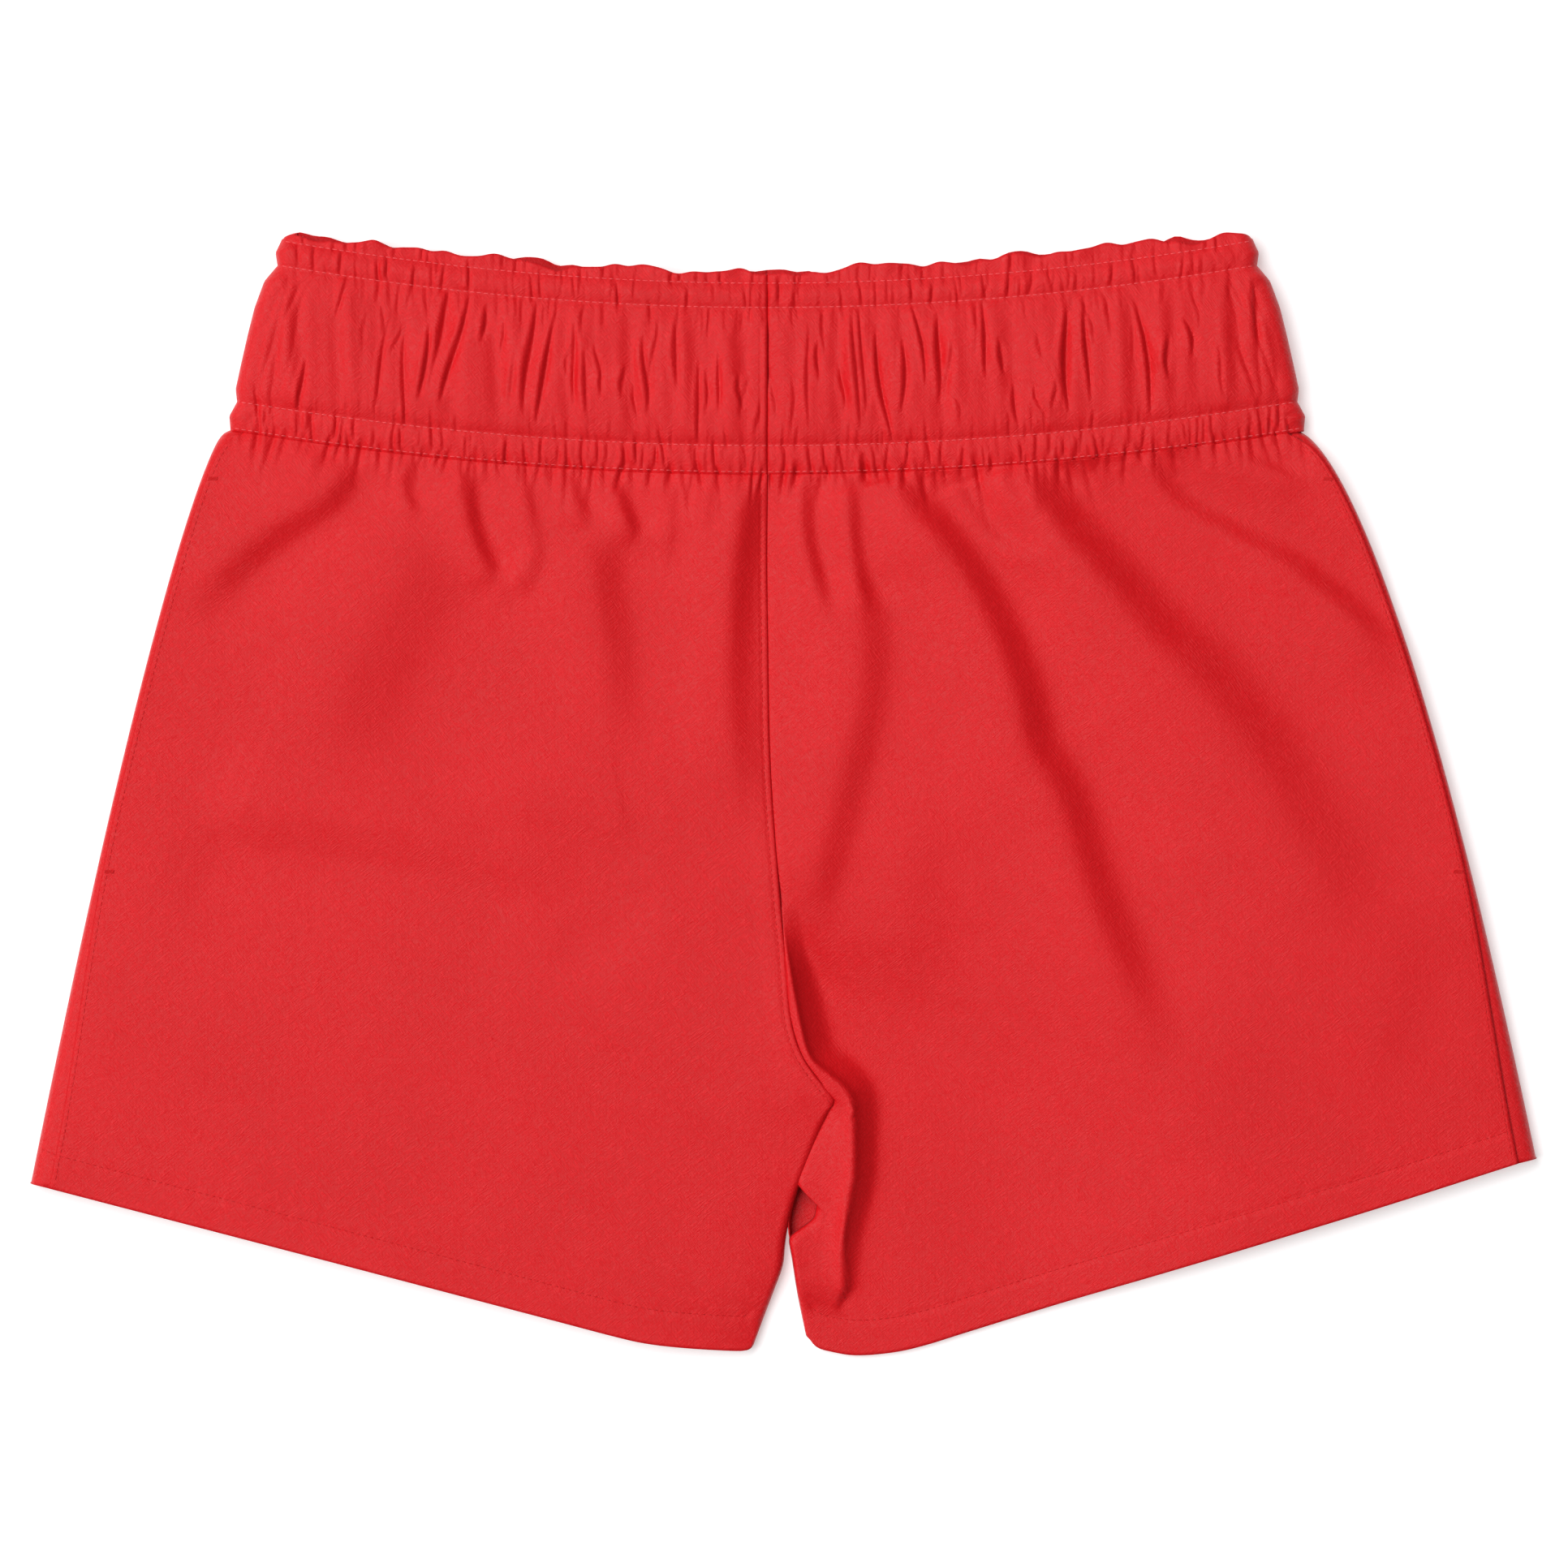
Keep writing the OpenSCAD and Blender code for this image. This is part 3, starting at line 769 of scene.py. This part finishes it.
def surface_of(*pieces):
    """A tree of the finished faces of some pieces, for finding the height of the cloth."""
    points, faces = [], []
    graph = bpy.context.evaluated_depsgraph_get()
    for piece in pieces:
        mesh = piece.evaluated_get(graph).to_mesh()
        first = len(points)
        points += [v.co.copy() for v in mesh.vertices]
        faces += [[first + i for i in polygon.vertices] for polygon in mesh.polygons]
    return BVHTree.FromPolygons(points, faces)


def cloth_z(tree, x, y, below=False):
    """Height of the cloth at a point, from above or from below, or None where there is none."""
    start = Vector((x * MM, y * MM, -0.05 if below else 0.05))
    hit = tree.ray_cast(start, Vector((0, 0, 1 if below else -1)))[0]
    return None if hit is None else hit.z / MM


# Rings along one stitch: their place, their thickness and how far they stand above the cloth.
STITCH_RINGS = (
    (-0.5, 0.35, -0.22), (-0.42, 0.9, 0.0), (0.0, 1.0, 0.1), (0.42, 0.9, 0.0), (0.5, 0.35, -0.22),
)
STITCH_SIDES = 6
TOUCHES = (-0.5, 0, 0.5)        # where along a stitch the height of the cloth is taken


def stitch_rows(name, paths, tree, material, pitch=2.5, share=0.72, width=0.30, below=False):
    """Rows of stitches along paths, each one a small thread that dips into the cloth at both ends."""
    points, faces = [], []
    up = -1 if below else 1
    turns = np.linspace(0, 2 * math.pi, STITCH_SIDES, endpoint=False)
    for path in paths:
        length = np.sum(np.linalg.norm(np.diff(np.array(path, float), axis=0), axis=1))
        line = curve(path, max(3, int(length / pitch) + 1))
        for (ax, ay), (bx, by) in zip(line, line[1:]):
            step = math.hypot(bx - ax, by - ay)
            if step < 0.5:
                continue
            dx, dy = (bx - ax) / step, (by - ay) / step
            reach = step * share
            mx, my = (ax + bx) / 2, (ay + by) / 2
            heights = [
                cloth_z(tree, mx + dx * reach * k, my + dy * reach * k, below) for k in TOUCHES
            ]
            if None in heights:
                continue
            first = len(points)
            for along, thick, rise in STITCH_RINGS:
                base = np.interp(along, TOUCHES, heights)
                for t in turns:
                    side = 0.5 * width * thick * math.cos(t)
                    high = 0.5 * width * thick * math.sin(t) + rise
                    points.append((
                        mx + dx * reach * along - dy * side,
                        my + dy * reach * along + dx * side,
                        base + up * high,
                    ))
            n = STITCH_SIDES
            for ring in range(len(STITCH_RINGS) - 1):
                for k in range(n):
                    a, b = first + ring * n + k, first + ring * n + (k + 1) % n
                    face = (a, b, b + n, a + n)
                    faces.append(face[::-1] if not below else face)
            last = first + (len(STITCH_RINGS) - 1) * n
            cap_a, cap_b = tuple(range(first, first + n)), tuple(range(last, last + n))
            faces.append(cap_a if not below else cap_a[::-1])
            faces.append(cap_b[::-1] if not below else cap_b)
    return object_from(name, points, faces, material)


def band_row(s):
    """A row of stitches along the waistband, from end to end of it."""
    half = float(end_half(s)) - 1.2
    xs = np.linspace(SEAM_X - half, SEAM_X + half, 120)
    return [(float(x), float(waist_y(x, s))) for x in xs]


def offset_line(points, distance):
    """A line to the left of another one, at a distance."""
    p = np.array(points, float)
    run = np.gradient(p, axis=0)
    run /= np.linalg.norm(run, axis=1)[:, None]
    return [tuple(q) for q in p + distance * np.stack([-run[:, 1], run[:, 0]], axis=1)]


def hem_row(half, up):
    """A row of stitches along a hem."""
    row = [
        (float(x), float(y + up)) for x, y in curve(hem_line(half), 90)[1:-1]
        if inner_x(half, y + up) * half.side < x * half.side - 2
    ]
    start_y = half.corner[1] + up
    return [(float(half.edge(start_y)) - half.side * 1.0, start_y)] + row


def pocket_bag(half):
    """A pocket bag: one cloth folded at its inner edge, hanging inside from the side seam."""
    low, high = node_box(f"pocket_bag_{half.word}")
    top_y, low_y = high[1] - 0.5, low[1] + 0.5
    inner_edge = high[0] if half.side < 0 else low[0]
    rows = np.linspace(0, 1, 90)
    ys = top_y + (low_y - top_y) * rows
    outer = np.stack([half.seam(ys) - half.side * (2.5 + 26 * ramp(-ys, 30, 66)), ys], axis=1)
    shape = inner_edge + half.side * 22 * (ramp(-ys, 34, 70) ** 1.5 + 0.4 * ramp(ys, 90, 118))
    across = np.linspace(0, 1, 46)[None]
    x = outer[:, :1] + (shape[:, None] - outer[:, :1]) * across
    y = np.repeat(ys[:, None], x.shape[1], axis=1)
    front_z = front_height(half, x, y)
    upper = front_z - 1.3
    lower = np.clip(front_z - 2.7, 2.0, None)
    lower = np.minimum(lower, upper - 0.7)
    fold_x = x[:, -1:] - half.side * 0.5
    grid = np.concatenate([
        np.stack([x, y, upper], axis=-1),
        np.stack([fold_x, y[:, -1:], (upper + lower)[:, -1:] / 2], axis=-1),
        np.stack([x, y, lower], axis=-1)[:, ::-1],
    ], axis=1)
    return facing(grid, half.side)


def bartack(x, y, width=3.4, height=1.2, count=12):
    """A dense bar of stitches side by side across the end of a pocket opening."""
    rows = []
    for k in range(count):
        place = x - width / 2 + width * (k + 0.5) / count
        rows.append([(place - 0.12, y - height / 2), (place, y), (place + 0.12, y + height / 2)])
    return rows


def care_label():
    """A blank woven label folded double inside the back of the waistband."""
    low, high = node_box("care_label")
    xs = np.linspace(low[0], high[0], 24)
    along = np.linspace(0, 1, 20)
    x, t = np.meshgrid(xs, along)
    y = low[1] + (high[1] - low[1]) * np.abs(2 * t - 1)
    thick = max(0.5, high[2] - low[2] - 0.5)
    wave = 0.12 * np.sin((x - low[0]) * 0.4) * (1 - np.abs(2 * t - 1))
    z = low[2] + 0.25 + thick * ramp(t, 0.3, 0.7) + wave
    return np.stack([x, y, z], axis=-1)


# ---- materials


def new_material(name, roughness):
    """A material, its nodes and links, and its shader."""
    material = bpy.data.materials.new(name)
    material.use_nodes = True
    shader = material.node_tree.nodes["Principled BSDF"]
    shader.inputs["Roughness"].default_value = roughness
    return material, material.node_tree.nodes, material.node_tree.links, shader


def noise(nodes, links, coords, scale, detail=3.0):
    made = nodes.new("ShaderNodeTexNoise")
    made.inputs["Scale"].default_value = scale
    made.inputs["Detail"].default_value = detail
    links.new(coords, made.inputs["Vector"])
    return made.outputs["Fac"]


def bands(nodes, links, coords, scale, direction):
    """Slightly uneven stripes across a direction."""
    made = nodes.new("ShaderNodeTexWave")
    made.wave_type = "BANDS"
    made.bands_direction = direction
    made.inputs["Scale"].default_value = scale
    made.inputs["Distortion"].default_value = 2.0
    links.new(coords, made.inputs["Vector"])
    return made.outputs["Fac"]


def maths(nodes, links, operation, a, b):
    made = nodes.new("ShaderNodeMath")
    made.operation = operation
    for socket, value in zip(made.inputs, (a, b)):
        if isinstance(value, (int, float)):
            socket.default_value = value
        else:
            links.new(value, socket)
    return made.outputs[0]


def ramp_colour(nodes, links, factor, stops):
    made = nodes.new("ShaderNodeValToRGB")
    for element, (place, colour) in zip(made.color_ramp.elements, stops):
        element.position, element.color = place, (*colour, 1)
    links.new(factor, made.inputs["Fac"])
    return made.outputs["Color"]


def ramp_value(nodes, links, factor, low, high):
    """Stretches part of a range to 0-1, and cuts off the rest."""
    made = nodes.new("ShaderNodeMapRange")
    made.inputs["From Min"].default_value = low
    made.inputs["From Max"].default_value = high
    links.new(factor, made.inputs["Value"])
    return made.outputs["Result"]


def bump(nodes, links, shader, height, distance):
    made = nodes.new("ShaderNodeBump")
    made.inputs["Distance"].default_value = distance
    links.new(height, made.inputs["Height"])
    links.new(made.outputs["Normal"], shader.inputs["Normal"])


FIBRES = 620.0          # how fine the short fibres on the cloth are: noise cells in a metre
WEAVE_RELIEF = 0.00021  # depth of the weave and fibres in the bump, in metres


def strokes(nodes, links, place, turn):
    """Short fibres that lie one way: noise stretched along a direction."""
    lay = nodes.new("ShaderNodeMapping")
    lay.vector_type = "TEXTURE"
    lay.inputs["Rotation"].default_value = (0, 0, math.radians(turn))
    lay.inputs["Scale"].default_value = (0.22 / FIBRES, 2.0 / FIBRES, 1 / FIBRES)
    links.new(place, lay.inputs["Vector"])
    return noise(nodes, links, lay.outputs["Vector"], 1.0, 2)


def woven(name, dark, light, roughness, thread=0.0004):
    """Plain weave: warp and weft threads, short fibres lying both ways, and a slow drift of colour."""
    material, nodes, links, shader = new_material(name, roughness)
    place = nodes.new("ShaderNodeTexCoord").outputs["Object"]
    turns = 2 * math.pi / (20 * thread)      # a wave texture's bands are 2 pi / (20 * scale) apart
    warp = bands(nodes, links, place, turns, "X")
    weft = bands(nodes, links, place, turns, "Y")
    weave = maths(nodes, links, "MULTIPLY", maths(nodes, links, "ADD", warp, weft), 0.12)
    one_way = strokes(nodes, links, place, 38)
    other_way = strokes(nodes, links, place, -52)
    patches = noise(nodes, links, place, 130, 2)
    fibres = nodes.new("ShaderNodeMix")
    links.new(patches, fibres.inputs["Factor"])
    links.new(one_way, fibres.inputs["A"])
    links.new(other_way, fibres.inputs["B"])
    cloud = noise(nodes, links, place, 24, 3)
    sharp = ramp_value(nodes, links, fibres.outputs["Result"], 0.44, 0.74)
    height = maths(nodes, links, "ADD", weave, maths(nodes, links, "MULTIPLY", sharp, 0.8))
    drift = maths(nodes, links, "MULTIPLY", cloud, 0.45)
    tone = maths(nodes, links, "ADD", maths(nodes, links, "MULTIPLY", height, 1.1), drift)
    links.new(ramp_colour(nodes, links, tone, [(0.25, dark), (0.75, light)]), shader.inputs["Base Color"])
    bump(nodes, links, shader, height, WEAVE_RELIEF)
    shader.inputs["Specular IOR Level"].default_value = 0.28
    shader.inputs["Sheen Weight"].default_value = 0.02
    shader.inputs["Sheen Roughness"].default_value = 0.4
    return material


SHELL = woven("shell_cloth", (0.59, 0.0025, 0.0055), (0.70, 0.0055, 0.0105), 0.44)
LINING = woven("lining_cloth", (0.50, 0.012, 0.014), (0.66, 0.02, 0.024), 0.7, thread=0.0006)
THREAD_DARK = woven("thread_dark", (0.56, 0.004, 0.006), (0.66, 0.010, 0.013), 0.4, thread=0.0002)
THREAD_LIGHT = woven("thread_light", (0.80, 0.075, 0.085), (0.89, 0.12, 0.13), 0.4, thread=0.0002)
ELASTIC = woven("elastic_tape", (0.70, 0.68, 0.64), (0.86, 0.85, 0.82), 0.75, thread=0.0009)
LABEL = woven("label_satin", (0.84, 0.83, 0.80), (0.93, 0.92, 0.9), 0.4, thread=0.0003)

# ---- making the pieces

# Thickness of each cloth.
PANEL_THICK, CASING_THICK, BAG_THICK, TAPE_THICK, LABEL_THICK = 0.4, 0.35, 0.3, 0.5, 0.15


def follow_leg(piece, half):
    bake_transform(piece)


def follow_band(piece):
    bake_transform(piece)


pieces = {}
for word, half in HALVES.items():
    front = thicken(mesh_from(f"front_panel_{word}_cloth", front_panel(half), SHELL), PANEL_THICK)
    back = thicken(mesh_from(f"back_panel_{word}_cloth", back_panel(half), SHELL), PANEL_THICK)
    for piece, face in ((front, "front"), (back, "back")):
        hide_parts(f"{face}_panel_{word}", f"leg_{face}_{word}")
        follow_leg(piece, half)
    pieces[f"front_{word}"], pieces[f"back_{word}"] = front, back

for word, half in HALVES.items():
    seed = 21 if half is LEFT else 34
    grid = casing(half.side, seed)
    band = thicken(mesh_from(f"waistband_casing_{word}", grid, SHELL), CASING_THICK)
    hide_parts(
        f"band_front_{word}", f"band_back_{word}",
        f"channel_front_{word}", f"channel_back_{word}",
    )
    follow_band(band)
    pieces[f"band_{word}"] = band

# Each elastic, with its lower and upper edge above the waist seam.
TAPES = [("wide_elastic", 14, 58), ("top_elastic", 63.6, 68.6), ("channel_elastic", 2.4, 8.2)]
for name, s_low, s_high in TAPES:
    tape = thicken(mesh_from(f"{name}_tape", elastic(s_low, s_high), ELASTIC, True), TAPE_THICK)
    tape.modifiers["thickness"].offset = 0
    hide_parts(name)
    follow_band(tape)
    pieces[name] = tape

# ---- pockets, stitches, label

for word, half in HALVES.items():
    bag = thicken(mesh_from(f"pocket_bag_{word}_cloth", pocket_bag(half), LINING), BAG_THICK)
    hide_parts(f"pocket_bag_{word}")
    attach(bag, "hips")

PANELS = ("front_left", "front_right", "back_left", "back_right")
panel_tree = surface_of(*(pieces[name] for name in PANELS))
band_tree = surface_of(pieces["band_left"], pieces["band_right"])


def thread_piece(name, paths, tree, node, follow, half=None, material=THREAD_DARK, **how):
    """Rows of stitches as one piece, its place baked into the mesh or, with follow None, attached to the
    hips.
    """
    piece = stitch_rows(name, paths, tree, material, **how)
    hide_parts(node)
    if half is not None:
        follow(piece, half)
    elif follow is None:
        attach(piece, "hips")
    else:
        follow(piece)
    return piece


for place, offset, under in (("front", -2.2, False), ("back", 2.2, True)):
    path = offset_line(curve(CENTRE_SEAM, 60)[1:], offset)
    thread_piece(
        f"centre_stitching_{place}", [path], panel_tree, "seam_thread", None, below=under
    )
for word, half in HALVES.items():
    ys = np.linspace(WAIST_END_Y - 6, half.corner[1] + 1, 90)
    side_path = [(float(half.seam(y)) - half.side * 1.9, float(y)) for y in ys]
    thread_piece(f"side_stitching_{word}", [side_path], panel_tree, "seam_thread", follow_leg, half)
    rows = [hem_row(half, HEM_DEPTH)]
    for place, under in (("front", False), ("back", True)):
        thread_piece(
            f"hem_stitching_{word}_{place}", rows, panel_tree, f"hem_thread_{word}",
            follow_leg, half, below=under,
        )

waist_rows = [band_row(0.9)]
upper_rows = [band_row(CHANNEL), band_row(WIDE), band_row(TOP)]
for place, under in (("front", False), ("back", True)):
    for kind, rows, node in (
        ("waist", waist_rows, "channel_thread"), ("band", upper_rows, "band_thread"),
    ):
        thread_piece(
            f"{kind}_stitching_{place}", rows, band_tree, node, follow_band,
            material=THREAD_LIGHT, width=0.34, below=under,
        )

tacks = []
tack_low, tack_high = node_box("pocket_bartacks")
for half in HALVES.values():
    for y in (tack_high[1] - 0.7, tack_low[1] + 0.7):
        tacks += bartack(float(half.seam(y)) - half.side * 2.6, float(y))
bar = stitch_rows(
    "pocket_bartack_stitches", tacks, panel_tree, THREAD_DARK, pitch=2.4, share=1.15, width=0.5
)
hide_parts("pocket_bartacks")
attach(bar, "hips")

label = thicken(mesh_from("blank_care_label", care_label(), LABEL), LABEL_THICK)
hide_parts("care_label")
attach(label, "waistband")

# ---- floor, light, camera


def floor():
    bpy.ops.mesh.primitive_plane_add(size=8, location=(0, 0, -0.0001))
    plane = bpy.context.object
    plane.name = "floor"
    material, *_, shader = new_material("pale_floor", 0.9)
    shader.inputs["Base Color"].default_value = (0.74, 0.74, 0.74, 1)
    shader.inputs["Specular IOR Level"].default_value = 0.0
    shader.inputs["Emission Color"].default_value = (1, 1, 1, 1)
    shader.inputs["Emission Strength"].default_value = 0.4
    plane.data.materials.append(material)


def soft_box(name, location, size, power):
    """A rectangular light that faces the middle of the floor."""
    data = bpy.data.lights.new(name, "AREA")
    data.shape, data.energy = "RECTANGLE", power
    data.size, data.size_y = size
    lamp = bpy.data.objects.new(name, data)
    lamp.location = location
    lamp.rotation_euler = (-Vector(location)).to_track_quat("-Z", "Y").to_euler()
    bpy.context.scene.collection.objects.link(lamp)


def light():
    world = bpy.data.worlds.new("studio")
    world.use_nodes = True
    world.node_tree.nodes["Background"].inputs["Color"].default_value = (1, 1, 1, 1)
    world.node_tree.nodes["Background"].inputs["Strength"].default_value = 0.22
    bpy.context.scene.world = world
    soft_box("key", (-3.9, 1.5, 7.95), (9.0, 6.4), 1015)


def camera():
    """A camera straight above, whose view is as wide on the garment as the photograph's."""
    data = bpy.data.cameras.new("camera")
    view = bpy.data.objects.new("camera", data)
    bpy.context.scene.collection.objects.link(view)
    distance, width = 3.0, 0.5796
    data.sensor_width = 36
    data.lens = data.sensor_width * distance / width
    view.location = (0.0002, 0.0033, distance + 0.01)
    bpy.context.scene.camera = view
    bpy.context.scene.view_settings.view_transform = "Standard"


floor()
light()
camera()
